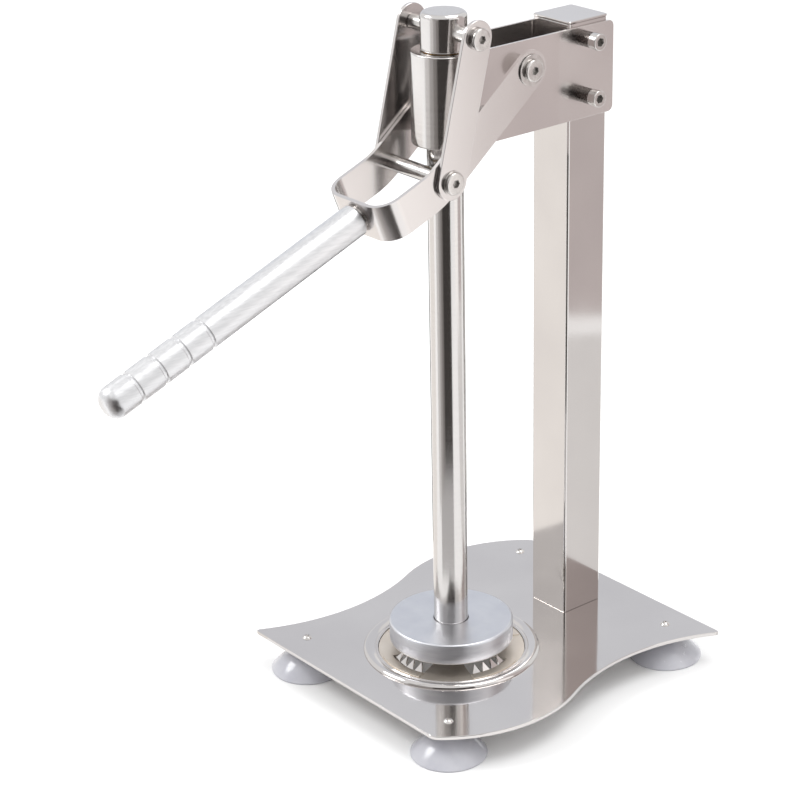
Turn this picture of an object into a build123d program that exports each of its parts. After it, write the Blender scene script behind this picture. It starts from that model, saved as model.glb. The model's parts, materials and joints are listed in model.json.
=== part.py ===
from build123d import *
import os
from math import atan2, ceil, cos, degrees, hypot, radians, sin, sqrt

# A bench-top lever press for fruit, in millimetres and degrees.
# The operator stands at -Y and pulls the handle down; +X is the operator's right and +Z is up.
# Everything is laid out about the ram, whose axis is x = y = 0, with the bench top at z = 0.
# export() then moves the whole press so that the middle of its footprint is the origin.

# ---------------------------------------------------------------- fits between pieces
pin_fit = 0.05            # radial gap of a pin or screw held in its hole
running_fit = 0.08        # radial gap of a bearing that turns or slides
side_gap = 0.4            # gap along X between plates that turn beside each other
stop_gap = 0.3            # gap left where the lowered ram head rests on the sleeve
tube_fit = 0.1            # gap round a plug inside the square column
drop_in_fit = 0.1         # radial gap of the loose die parts in their ring

# ---------------------------------------------------------------- base plate
plate_thickness = 3.0
plate_length = 283.7
plate_middle = 38.15      # plate centre, behind the ram axis
bulge_radius = 115.0      # convex stretch of each side
bulge_x = -16.3           # centre of the left convex arc, from the plate centre
bulge_y = 61.85
waist_radius = 173.0      # concave stretch of each side
waist_y = -56.15          # its centre, along Y from the plate centre
plate_corner = 5.0

# ---------------------------------------------------------------- suction feet
foot_gap = 24.5           # bench to the underside of the plate
foot_x = 89.0             # half the spacing of the foot screws across the press
foot_y = 117.75           # half their spacing along it
cup_radius = 30.0
cup_edge = 1.4            # thickness of the cup's rim
cup_dome = 17.0           # height where the dome meets the neck
cup_swell = 0.64          # how full the dome is; 0.5 is a plain cone
cup_neck = 9.5
cup_hollow = 4.0          # depth of the hollow under the cup
cup_land = 2.5            # width of the rim that touches the bench
foot_screw_radius = 3.0
foot_head_radius = 4.0
foot_head_height = 2.2
foot_nut_flats = 10.0
foot_nut_height = 5.0
foot_screw_below_nut = 9.0

# ---------------------------------------------------------------- pressing die in the plate
ring_outer = 71.5
ring_inner = 59.5
ring_height = 3.0
ring_skirt = 2.4
seat_inner = 50.0         # inner radius of the ring's seat for the die
seat_thickness = 1.5
die_thickness = 2.0
window_inner = 20.0
window_outer = 49.5
window_angle = 46.0
window_corner = 1.5
land_inner = 50.5
land_outer = 58.0
land_height = 0.8
strip_thickness = 1.5     # tooth strip between the seat and the die
strip_inner = 47.0
tooth_width = 8.4
tooth_length = 9.0
tooth_lean = 40.0         # how far each tooth leans in from the vertical
tooth_pitch = 10.5        # degrees between teeth
teeth_per_window = 4

# ---------------------------------------------------------------- column
column_size = 40.0
column_wall = 2.0
column_corner = 2.0
column_height = 500.0     # above the plate
column_y = 127.0          # column centre behind the ram axis
cap_thickness = 2.0
cap_overhang = 0.4
cap_plug = 10.0
foot_block = 14.0
column_screw_radius = 3.0
column_screw_head = 5.6
column_screw_head_height = 2.4
column_screw_offset = 10.0
column_screw_reach = 12.0

# ---------------------------------------------------------------- arms and guide
arm_thickness = 2.0
arm_bottom = 425.0        # above the plate
arm_top = 497.0
arm_rear_past_column = 5.0
arm_corner = 5.0
sleeve_wall = 8.5         # round the bushes
sleeve_bottom = 427.0
sleeve_chamfer = 2.0
bush_wall = 2.67
bush_length = 18.0
bush_shoulder = 1.2
clamp_screw_radius = 4.0
clamp_from_front = 13.0   # clamp screws behind the front face of the column
clamp_upper = 488.0
clamp_lower = 444.0
clamp_spacer_radius = 6.0
clamp_spacer_length = 11.0
clamp_head_radius = 6.5
clamp_head_length = 8.0
clamp_socket = 6.0
clamp_nut_flats = 13.0
clamp_nut_height = 6.5

# ---------------------------------------------------------------- linkage, heights above the plate
fulcrum_y = 55.0          # pivot of the lever on the arms
fulcrum_z = 478.0
knee_y = -25.5            # pivot of the links on the lever
knee_z = 409.0
crosshead_z = 512.0       # pivot of the links on the ram, on the ram axis
pin_radius = 6.0
pin_chamfer = 0.6
thread_radius = 4.0
thread_length = 14.0
head_radius = 8.5
head_socket = 5.0
washer_thickness = 1.0
fulcrum_head = 3.2
fulcrum_washer = 12.0
fulcrum_spacer_radius = 9.0
knee_head = 2.8
knee_washer = 9.3
crosshead_head = 3.6
crosshead_washer = 8.0
link_thickness = 3.0
link_end_radius = 13.5

# ---------------------------------------------------------------- lever
lever_width = 70.0        # outside the fork
lever_thickness = 3.0
lever_strap = 30.0        # width of the bent strap
upper_arm_slope = 38.6    # of the strap from the fulcrum down to the elbow
handle_slope = 20.9       # of the yoke and the handle below the horizontal
yoke_reach = 63.5         # knee pivot to the outside of the yoke's front
yoke_bend = 18.0
handle_radius = 12.5
handle_length = 241.4
handle_nose = 9.0
groove_first = 26.0       # from the tip to the first grip groove
groove_pitch = 22.0
groove_count = 4
groove_width = 1.6
groove_depth = 0.7
handle_screw_radius = 5.0
handle_screw_head = 8.0
handle_screw_head_height = 6.0
handle_screw_reach = 25.0
handle_screw_socket = 8.0
handle_washer_radius = 10.0
handle_washer_thickness = 1.6

# ---------------------------------------------------------------- ram, heights above the plate
ram_radius = 13.75
ram_head_wall = 3.75      # round the shaft
ram_head_top = 526.0
ram_head_chamfer = 2.0
ram_head_crown = 5.0      # metal over the end of the shaft
presser_radius = 50.0
presser_bottom = 9.4
presser_thickness = 17.7
presser_edge = 2.0
presser_socket = 8.0
presser_screw_radius = 4.0
presser_screw_head = 7.0
presser_screw_head_height = 5.0
presser_screw_recess = 6.0
presser_screw_reach = 16.0

# ---------------------------------------------------------------- places worked out from the sizes
plate_top = foot_gap + plate_thickness
seat_depth = die_thickness + strip_thickness
die_radius = ring_inner - drop_in_fit
opening_radius = ring_inner + ring_skirt + drop_in_fit
lever_outer = lever_width / 2
lever_inner = lever_outer - lever_thickness
link_inner = lever_outer + side_gap
link_outer = link_inner + link_thickness
arm_inner = column_size / 2
arm_outer = arm_inner + arm_thickness
clamp_y = column_y - column_size / 2 + clamp_from_front
ram_bore = ram_radius + running_fit
bush_radius = ram_bore + bush_wall
sleeve_radius = bush_radius + sleeve_wall
ram_head_radius = ram_radius + ram_head_wall


def at_fulcrum():
    return fulcrum_y, plate_top + fulcrum_z


def at_knee():
    return knee_y, plate_top + knee_z


def at_crosshead():
    return 0.0, plate_top + crosshead_z


# ---------------------------------------------------------------- small helpers
upwards = (Align.CENTER, Align.CENTER, Align.MIN)
downwards = (Align.CENTER, Align.CENTER, Align.MAX)


def rod_x(radius, start, end, place):
    """A round bar along X, from start to end, at a (y, z) place."""
    outline = Plane.YZ.offset(start) * Pos(*place) * Circle(radius)
    return extrude(outline, end - start)


def pin_x(radius, half_length, place):
    """A pin across the press with both of its end edges broken."""
    bar = rod_x(radius, -half_length, half_length, place)
    ends = bar.edges().filter_by(GeomType.CIRCLE)
    return chamfer(ends, pin_chamfer)


def hexagon_x(flats, start, end, place):
    outline = Plane.YZ.offset(start) * Pos(*place) * RegularPolygon(flats / sqrt(3), 6)
    return extrude(outline, end - start)


def column_z(radius, bottom, top, x=0.0, y=0.0):
    """A round upright from one height to another."""
    return extrude(Plane.XY.offset(bottom) * Pos(x, y) * Circle(radius), top - bottom)


def square_z(size, corner, bottom, top, y):
    outline = Plane.XY.offset(bottom) * Pos(0, y) * RectangleRounded(size, size, corner)
    return extrude(outline, top - bottom)


def ring_x(outer, inner, start, end, place):
    return rod_x(outer, start, end, place) - rod_x(inner, start, end, place)


def group(*shapes):
    """Several separate solids kept in one node."""
    return Compound([solid for shape in shapes for solid in shape.solids()])


def both_sides(shape):
    return group(shape, mirror(shape, about=Plane.YZ))


def turned(points_and_arcs):
    """A turned piece: a closed profile of (radius, height) edges, spun about Z."""
    return revolve(make_face(Wire(points_and_arcs)), Axis.Z)


def profile(points):
    """Straight edges in the XZ plane that join (radius, height) points and close."""
    places = [(radius, 0, height) for radius, height in points]
    return Polyline(*places, close=True).edges()


# ---------------------------------------------------------------- base plate and feet
def arc(centre, radius, start, end):
    """An arc about a centre, between two angles in degrees."""
    middle = (start + end) / 2
    ends = [
        (centre[0] + radius * cos(radians(angle)), centre[1] + radius * sin(radians(angle)))
        for angle in (start, middle, end)
    ]
    return ThreePointArc(*ends)


def plate_outline():
    """The plate's outline: each side is a bulge and a waist, the right one turned half round."""
    half = plate_length / 2
    centres_apart = bulge_radius + waist_radius
    waist_x = bulge_x - sqrt(centres_apart**2 - (bulge_y - waist_y) ** 2)
    bulge_start = 180 - degrees(atan2(half - bulge_y, sqrt(bulge_radius**2 - (half - bulge_y) ** 2)))
    tangent = degrees(atan2(bulge_y - waist_y, bulge_x - waist_x))
    waist_drop = -half - waist_y
    waist_end = degrees(atan2(waist_drop, sqrt(waist_radius**2 - waist_drop**2)))
    left = [
        arc((bulge_x, bulge_y), bulge_radius, bulge_start, 180 + tangent),
        arc((waist_x, waist_y), waist_radius, tangent, waist_end),
    ]
    right = [edge.rotate(Axis.Z, 180) for edge in left]
    front = Line(left[1] @ 1, right[0] @ 0)
    rear = Line(right[1] @ 1, left[0] @ 0)
    outline = make_face(Wire([left[0], left[1], front, right[0], right[1], rear]))
    corners = [left[0] @ 0, left[1] @ 1, right[0] @ 0, right[1] @ 1]
    sharp = [v for v in outline.vertices() if min((v.center() - c).length for c in corners) < 0.01]
    return fillet(sharp, plate_corner)


def foot_places():
    """The four foot screws: name and place."""
    for depth, sign_y in (("front", -1), ("rear", 1)):
        for side, sign_x in (("left", -1), ("right", 1)):
            yield f"{depth}_{side}", sign_x * foot_x, plate_middle + sign_y * foot_y


def column_screw_places():
    for x in (-column_screw_offset, column_screw_offset):
        for y in (-column_screw_offset, column_screw_offset):
            yield x, column_y + y


def base_plate():
    plate = extrude(Plane.XY.offset(foot_gap) * Pos(0, plate_middle) * plate_outline(), plate_thickness)
    plate -= column_z(opening_radius, foot_gap, plate_top)
    for _, x, y in foot_places():
        plate -= column_z(foot_screw_radius + pin_fit, foot_gap, plate_top, x, y)
    for x, y in column_screw_places():
        plate -= column_screw(x, y, pin_fit)
    return plate


def suction_cup(x, y):
    """A soft cup: a thin rim, a full dome and a short neck that holds the foot screw."""
    neck_top = foot_gap - foot_nut_height
    screw_end = neck_top - foot_screw_below_nut
    hollow = cup_radius - cup_land
    outer = [
        Line((cup_radius, 0, 0), (cup_radius, 0, cup_edge)),
        ThreePointArc(
            (cup_radius, 0, cup_edge),
            ((cup_radius + cup_neck) / 2, 0, cup_edge + cup_swell * (cup_dome - cup_edge)),
            (cup_neck, 0, cup_dome),
        ),
    ]
    upper = Polyline(
        (cup_neck, 0, cup_dome),
        (cup_neck, 0, neck_top),
        (foot_screw_radius + pin_fit, 0, neck_top),
        (foot_screw_radius + pin_fit, 0, screw_end),
        (0, 0, screw_end),
        (0, 0, cup_hollow),
    )
    under = [
        ThreePointArc((0, 0, cup_hollow), (0.6 * hollow, 0, 0.62 * cup_hollow), (hollow, 0, 0)),
        Line((hollow, 0, 0), (cup_radius, 0, 0)),
    ]
    return Pos(x, y, 0) * turned(outer + list(upper.edges()) + under)


def foot_screws():
    """Dome-headed screws through the plate, each with a cross slot."""
    screws = []
    end = foot_gap - foot_nut_height - foot_screw_below_nut
    crown = (foot_head_radius**2 + foot_head_height**2) / (2 * foot_head_height)
    for _, x, y in foot_places():
        head = Pos(x, y, plate_top + foot_head_height - crown) * Sphere(crown)
        head &= column_z(foot_head_radius, plate_top, plate_top + foot_head_height, x, y)
        for length, width in ((4.6, 1.1), (1.1, 4.6)):
            head -= Pos(x, y, plate_top + foot_head_height) * Box(length, width, 1.8)
        screws.append(head + column_z(foot_screw_radius, end, plate_top, x, y))
    return group(*screws)


def foot_nuts():
    nuts = []
    bottom = foot_gap - foot_nut_height
    for _, x, y in foot_places():
        blank = Plane.XY.offset(bottom) * Pos(x, y) * RegularPolygon(foot_nut_flats / sqrt(3), 6)
        hole = column_z(foot_screw_radius + pin_fit, bottom, foot_gap, x, y)
        nuts.append(extrude(blank, foot_nut_height) - hole)
    return group(*nuts)


# ---------------------------------------------------------------- die in the plate
def dish_ring():
    """The raised bead round the opening, with a skirt and a seat that carries the die."""
    crest = (ring_inner + ring_outer) / 2
    skirt = ring_inner + ring_skirt
    seat = plate_top - seat_depth
    bead = ThreePointArc(
        (ring_outer, 0, plate_top), (crest, 0, plate_top + ring_height), (ring_inner, 0, plate_top)
    )
    rest = Polyline(
        (ring_inner, 0, plate_top),
        (ring_inner, 0, seat),
        (seat_inner, 0, seat),
        (seat_inner, 0, seat - seat_thickness),
        (skirt, 0, seat - seat_thickness),
        (skirt, 0, plate_top),
        (ring_outer, 0, plate_top),
    )
    return turned([bead] + list(rest.edges()))


def sector(inner, outer, angle, middle):
    """A flat ring sector, angle wide, about the direction middle."""
    low = middle - angle / 2
    high = middle + angle / 2
    far = arc((0, 0), outer, low, high)
    near = arc((0, 0), inner, high, low)
    return make_face(Wire([far, Line(far @ 1, near @ 0), near, Line(near @ 1, far @ 0)]))


def window_directions():
    return (0, 90, 180, 270)


def die_plate():
    """The drop-in disc with four windows and a raised land outside each."""
    top = plate_top
    disc = column_z(die_radius, top - die_thickness, top)
    for middle in window_directions():
        window = sector(window_inner, window_outer, window_angle, middle)
        window = fillet(window.vertices(), window_corner)
        disc -= extrude(Plane.XY.offset(top - die_thickness) * window, die_thickness)
        land = sector(land_inner, land_outer, window_angle, middle)
        disc += extrude(Plane.XY.offset(top) * land, land_height)
    return disc


def tooth(direction):
    """One triangular tooth that leans in over a window."""
    root = strip_inner + strip_thickness
    middle = plate_top - die_thickness - strip_thickness / 2
    face = Polygon((-tooth_width / 2, 0), (tooth_width / 2, 0), (0, tooth_length), align=None)
    blade = extrude(face, strip_thickness / 2, both=True)
    upright = Rot(Z=90) * Rot(X=90) * blade
    return Rot(Z=direction) * Pos(root, 0, middle) * Rot(Y=-tooth_lean) * upright


def tooth_ring():
    """The toothed strip clamped between the seat and the die plate."""
    bottom = plate_top - seat_depth
    strip = column_z(die_radius, bottom, bottom + strip_thickness)
    strip -= column_z(strip_inner, bottom, bottom + strip_thickness)
    teeth = []
    for middle in window_directions():
        for index in range(teeth_per_window):
            direction = middle + (index - (teeth_per_window - 1) / 2) * tooth_pitch
            teeth.append(tooth(direction))
    strip = strip + teeth
    below = column_z(ring_outer, bottom - tooth_length, bottom)
    over_seat = column_z(die_radius, bottom + strip_thickness, plate_top + tooth_length)
    over_seat -= column_z(window_outer - drop_in_fit, bottom + strip_thickness, plate_top + tooth_length)
    return strip - below - over_seat


# ---------------------------------------------------------------- column
def column():
    """The square tube, drilled across for the two clamp screws."""
    top = plate_top + column_height
    bore = column_size - 2 * column_wall
    tube = square_z(column_size, column_corner, plate_top, top, column_y)
    tube -= square_z(bore, 1.0, plate_top, top, column_y)
    for place in clamp_places():
        tube -= rod_x(clamp_screw_radius + pin_fit, -column_size, column_size, place)
    return tube


def column_cap():
    top = plate_top + column_height
    lid = square_z(column_size + 2 * cap_overhang, column_corner, top, top + cap_thickness, column_y)
    lid = fillet(lid.faces().sort_by(Axis.Z)[-1].edges(), 0.8)
    plug_size = column_size - 2 * column_wall - 2 * tube_fit
    upper_screw = plate_top + clamp_upper + clamp_screw_radius
    plug_depth = min(cap_plug, top - upper_screw - tube_fit)
    return lid + square_z(plug_size, 1.0, top - plug_depth, top, column_y)


def column_foot():
    """The tapped block inside the foot of the column."""
    block_size = column_size - 2 * column_wall - 2 * tube_fit
    block = square_z(block_size, 1.0, plate_top, plate_top + foot_block, column_y)
    for x, y in column_screw_places():
        block -= column_z(column_screw_radius + pin_fit, plate_top, plate_top + column_screw_reach, x, y)
    return block


def column_screw(x, y, grow=0.0):
    """A countersunk screw up through the plate; grow makes the hole for it."""
    shank = column_z(column_screw_radius + grow, foot_gap, plate_top + column_screw_reach - pin_fit, x, y)
    cone = Cone(column_screw_head + grow, column_screw_radius + grow, column_screw_head_height + grow)
    return shank + Pos(x, y, foot_gap + (column_screw_head_height + grow) / 2) * cone


def column_screws():
    screws = []
    for x, y in column_screw_places():
        screw = column_screw(x, y)
        screws.append(screw - Pos(x, y, foot_gap) * extrude(RegularPolygon(2.3, 6), 1.6))
    return group(*screws)


# ---------------------------------------------------------------- arms, sleeve and clamp screws
def clamp_places():
    for height in (clamp_upper, clamp_lower):
        yield clamp_y, plate_top + height


def arm_plate(side):
    """One side plate from the guide sleeve to just behind the column; side is -1 or 1."""
    front = sqrt(sleeve_radius**2 - arm_outer**2) - 1.0
    rear = column_y + column_size / 2 + arm_rear_past_column
    height = arm_top - arm_bottom
    start = arm_inner if side > 0 else -arm_outer
    middle = ((front + rear) / 2, plate_top + (arm_top + arm_bottom) / 2)
    outline = Plane.YZ.offset(start) * Pos(*middle) * Rectangle(rear - front, height)
    plate = extrude(outline, arm_thickness)
    rear_edges = plate.edges().filter_by(Axis.X).sort_by(Axis.Y)[-2:]
    plate = fillet(rear_edges, arm_corner)
    plate -= column_z(sleeve_radius + pin_fit / 2, plate_top + arm_bottom, plate_top + arm_top)
    plate -= rod_x(pin_radius + pin_fit, -arm_outer, arm_outer, at_fulcrum())
    for place in clamp_places():
        plate -= rod_x(clamp_screw_radius + pin_fit, -arm_outer, arm_outer, place)
    return plate


def guide_sleeve():
    """The turned guide, bored out at both ends for its bushes."""
    bottom = plate_top + sleeve_bottom
    top = plate_top + arm_top
    waist = bush_radius - bush_shoulder
    points = [
        (waist, bottom + bush_length),
        (bush_radius, bottom + bush_length),
        (bush_radius, bottom),
        (sleeve_radius - sleeve_chamfer, bottom),
        (sleeve_radius, bottom + sleeve_chamfer),
        (sleeve_radius, top - 0.6),
        (sleeve_radius - 0.6, top),
        (bush_radius, top),
        (bush_radius, top - bush_length),
        (waist, top - bush_length),
    ]
    return turned(profile(points))


def guide_bush(bottom):
    outer = bush_radius - pin_fit
    bush = column_z(outer, bottom, bottom + bush_length)
    return bush - column_z(ram_bore, bottom, bottom + bush_length)


def clamp_bolts():
    """Two long socket screws across the arms and the column."""
    screws = []
    head_start = arm_outer + clamp_spacer_length
    for place in clamp_places():
        end = -arm_outer - clamp_nut_height - 2.0
        shank = rod_x(clamp_screw_radius, end, head_start, place)
        head = rod_x(clamp_head_radius, head_start, head_start + clamp_head_length, place)
        head = chamfer(head.edges().filter_by(GeomType.CIRCLE).sort_by(Axis.X)[-1], 0.6)
        tip = head_start + clamp_head_length
        head -= hexagon_x(clamp_socket, tip - clamp_head_length / 2, tip, place)
        screws.append(shank + head)
    return group(*screws)


def clamp_spacers():
    inner = clamp_screw_radius + pin_fit
    end = arm_outer + clamp_spacer_length
    return group(*[ring_x(clamp_spacer_radius, inner, arm_outer, end, place) for place in clamp_places()])


def clamp_nuts():
    nuts = []
    for place in clamp_places():
        blank = hexagon_x(clamp_nut_flats, -arm_outer - clamp_nut_height, -arm_outer, place)
        hole = rod_x(clamp_screw_radius + pin_fit, -arm_outer - clamp_nut_height, -arm_outer, place)
        nuts.append(blank - hole)
    return group(*nuts)


# ---------------------------------------------------------------- pins, screws and washers of the linkage
def flange_screw(bearing, head, place, thread):
    """A low socket head on a threaded shank, on the +X side; bearing is under its head."""
    blank = rod_x(head_radius, bearing, bearing + head, place)
    blank = fillet(blank.edges().filter_by(GeomType.CIRCLE).sort_by(Axis.X)[-1], min(1.4, head / 2))
    socket = hexagon_x(head_socket, bearing + head * 0.3, bearing + head, place)
    return blank + rod_x(thread_radius, bearing - thread, bearing, place) - socket


def tapped_pin(half_length, depth, place):
    pin = pin_x(pin_radius, half_length, place)
    hole = rod_x(thread_radius + pin_fit, half_length - depth, half_length, place)
    return pin - hole - mirror(hole, about=Plane.YZ)


def fulcrum_end():
    return lever_outer + side_gap


def knee_end():
    return link_outer + side_gap / 2


def fulcrum_pin():
    return tapped_pin(fulcrum_end(), thread_length, at_fulcrum())


def fulcrum_spacers():
    inner = pin_radius + pin_fit
    return both_sides(ring_x(fulcrum_spacer_radius, inner, arm_outer, lever_inner - side_gap, at_fulcrum()))


def washers(bearing, radius, place):
    return both_sides(ring_x(radius, thread_radius + pin_fit, bearing, bearing + washer_thickness, place))


def fulcrum_bolts():
    bearing = fulcrum_end() + washer_thickness
    return both_sides(flange_screw(bearing, fulcrum_head, at_fulcrum(), thread_length - 1.0))


def knee_pin():
    return tapped_pin(knee_end(), thread_length, at_knee())


def knee_bolts():
    bearing = knee_end() + washer_thickness
    return both_sides(flange_screw(bearing, knee_head, at_knee(), thread_length - 1.0))


def crosshead_pin():
    return pin_x(pin_radius, link_inner - side_gap, at_crosshead())


def crosshead_bolts():
    """Shoulder screws that fill the links' upper holes."""
    bearing = knee_end() + washer_thickness
    screw = flange_screw(bearing, crosshead_head, at_crosshead(), washer_thickness)
    return both_sides(screw + rod_x(pin_radius, link_inner, knee_end(), at_crosshead()))


# ---------------------------------------------------------------- links and lever
def slot_plate(first, second, radius, start, end):
    """A flat bar with round ends about two (y, z) places, from x = start to x = end."""
    length = hypot(second[0] - first[0], second[1] - first[1])
    angle = degrees(atan2(second[1] - first[1], second[0] - first[0]))
    middle = ((first[0] + second[0]) / 2, (first[1] + second[1]) / 2)
    outline = Plane.YZ.offset(start) * Pos(*middle) * Rot(Z=angle) * SlotCenterToCenter(length, 2 * radius)
    return extrude(outline, end - start)


def link(side):
    """One outer link between the knee and the crosshead; side is -1 or 1."""
    bar = slot_plate(at_knee(), at_crosshead(), link_end_radius, link_inner, link_outer)
    bar -= rod_x(pin_radius + running_fit, link_inner, link_outer, at_knee())
    bar -= rod_x(pin_radius + pin_fit, link_inner, link_outer, at_crosshead())
    return bar if side > 0 else mirror(bar, about=Plane.YZ)


def handle_plane(reach=0.0):
    """A plane across the handle's axis, reach in front of the knee, facing forward."""
    y, z = at_knee()
    forward = (0, -cos(radians(handle_slope)), -sin(radians(handle_slope)))
    origin = (0, y + reach * forward[1], z + reach * forward[2])
    return Plane(origin=origin, x_dir=(1, 0, 0), z_dir=forward)


def elbow():
    """Where the centre line of the upper arms meets the handle's axis, and its reach."""
    y, z = at_knee()
    top_y, top_z = at_fulcrum()
    slope = radians(handle_slope)
    upper = radians(upper_arm_slope)
    across = (top_y - y) * sin(upper) - (top_z - z) * cos(upper)
    reach = -across / sin(upper - slope)
    return reach, (y - reach * cos(slope), z - reach * sin(slope))


def lever_fork():
    """One bent strap: two upper arms, an elbow each, and a yoke that closes in front."""
    _, corner = elbow()
    half = lever_strap / 2
    straight = yoke_reach - yoke_bend
    y, z = at_knee()
    slope = radians(handle_slope)
    front = (y - straight * cos(slope), z - straight * sin(slope))
    arm = slot_plate(at_fulcrum(), corner, half, lever_inner, lever_outer)
    middle = ((corner[0] + front[0]) / 2, (corner[1] + front[1]) / 2)
    length = hypot(corner[0] - front[0], corner[1] - front[1])
    band = Plane.YZ.offset(lever_inner) * Pos(*middle) * Rot(Z=handle_slope) * Rectangle(length, lever_strap)
    arm += extrude(band, lever_thickness)
    across = Plane(origin=(0, y, z), x_dir=(1, 0, 0), z_dir=(0, -sin(slope), cos(slope)))
    outer = Rectangle(lever_width, 2 * yoke_reach)
    outer -= Pos(0, yoke_reach) * Rectangle(lever_width, 2 * yoke_reach)
    outer = fillet(outer.vertices().sort_by(Axis.Y)[:2], yoke_bend)
    bore = lever_width - 2 * lever_thickness
    inner_reach = yoke_reach - lever_thickness
    inner = Rectangle(bore, 2 * inner_reach)
    inner = fillet(inner.vertices().sort_by(Axis.Y)[:2], yoke_bend - lever_thickness)
    bend = outer - inner - Pos(0, -straight / 2) * Rectangle(2 * lever_width, straight)
    fork = arm + mirror(arm, about=Plane.YZ) + extrude(across * bend, half, both=True)
    fork -= rod_x(pin_radius + running_fit, -lever_outer, lever_outer, at_fulcrum())
    fork -= rod_x(pin_radius + pin_fit, -lever_outer, lever_outer, at_knee())
    screw_hole = handle_plane(inner_reach - 1.0) * Circle(handle_screw_radius + pin_fit)
    return fork - extrude(screw_hole, lever_thickness + 2.0)


def handle():
    """The turned grip: a round bar with a bull nose and grooves near its end."""
    start = yoke_reach + handle_washer_thickness
    bar = Cylinder(handle_radius, handle_length, align=upwards)
    nose = bar.edges().filter_by(GeomType.CIRCLE).sort_by(Axis.Z)[-1]
    bar = fillet(nose, handle_nose)
    root = bar.edges().filter_by(GeomType.CIRCLE).sort_by(Axis.Z)[0]
    bar = chamfer(root, 0.8)
    cutter = Cylinder(handle_radius + 1.0, groove_width) - Cylinder(handle_radius - groove_depth, groove_width)
    for index in range(groove_count):
        bar -= Pos(0, 0, handle_length - groove_first - index * groove_pitch) * cutter
    depth = handle_screw_reach + 1.0
    bar -= Cylinder(handle_screw_radius + pin_fit, depth, align=upwards)
    return handle_plane(start) * bar


def handle_screw():
    """The socket screw that holds the handle from inside the yoke."""
    shank_length = lever_thickness + handle_washer_thickness + handle_screw_reach
    shank = Cylinder(handle_screw_radius, shank_length, align=upwards)
    head = Cylinder(handle_screw_head, handle_screw_head_height, align=downwards)
    head = chamfer(head.edges().filter_by(GeomType.CIRCLE).sort_by(Axis.Z)[0], 0.6)
    socket = extrude(RegularPolygon(handle_screw_socket / sqrt(3), 6), handle_screw_head_height / 2)
    head -= Pos(0, 0, -handle_screw_head_height) * socket
    return handle_plane(yoke_reach - lever_thickness) * (shank + head)


def handle_washer():
    washer = Cylinder(handle_washer_radius, handle_washer_thickness, align=upwards)
    hole = Cylinder(handle_screw_radius + pin_fit, 3 * handle_washer_thickness)
    return handle_plane(yoke_reach) * (washer - hole)


# ---------------------------------------------------------------- ram
def ram_shaft():
    """The polished bar that slides in the guide, tapped at its foot and cross-bored at its top."""
    bottom = plate_top + presser_bottom + presser_thickness - presser_socket
    top = plate_top + ram_head_top - ram_head_crown - pin_fit
    bar = column_z(ram_radius, bottom, top)
    bar -= rod_x(pin_radius + pin_fit, -ram_head_radius, ram_head_radius, at_crosshead())
    return bar - column_z(presser_screw_radius + pin_fit, bottom, bottom + presser_screw_reach + 1.0)


def ram_head():
    """The collar over the top of the ram; it stops on the guide sleeve."""
    bottom = plate_top + arm_top + stop_gap
    top = plate_top + ram_head_top
    bore = ram_radius + pin_fit
    points = [
        (0, top - ram_head_crown),
        (bore, top - ram_head_crown),
        (bore, bottom),
        (ram_head_radius - 1.0, bottom),
        (ram_head_radius, bottom + 1.0),
        (ram_head_radius, top - ram_head_chamfer),
        (ram_head_radius - ram_head_chamfer, top),
        (0, top),
    ]
    head = turned(profile(points))
    return head - rod_x(pin_radius + pin_fit, -ram_head_radius, ram_head_radius, at_crosshead())


def presser_disc():
    """The flat disc that meets the fruit, held to the ram from below."""
    bottom = plate_top + presser_bottom
    top = bottom + presser_thickness
    disc = fillet(column_z(presser_radius, bottom, top).edges().filter_by(GeomType.CIRCLE), presser_edge)
    disc -= column_z(ram_radius + pin_fit, top - presser_socket, top)
    disc -= column_z(presser_screw_radius + pin_fit, bottom, top)
    return disc - column_z(presser_screw_head + pin_fit, bottom, bottom + presser_screw_recess)


def presser_screw():
    bearing = plate_top + presser_bottom + presser_screw_recess
    end = plate_top + presser_bottom + presser_thickness - presser_socket + presser_screw_reach
    head = column_z(presser_screw_head, bearing - presser_screw_head_height, bearing)
    socket = extrude(RegularPolygon(3.5, 6), presser_screw_head_height / 2)
    head -= Pos(0, 0, bearing - presser_screw_head_height) * socket
    return head + column_z(presser_screw_radius, bearing, end)


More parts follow.
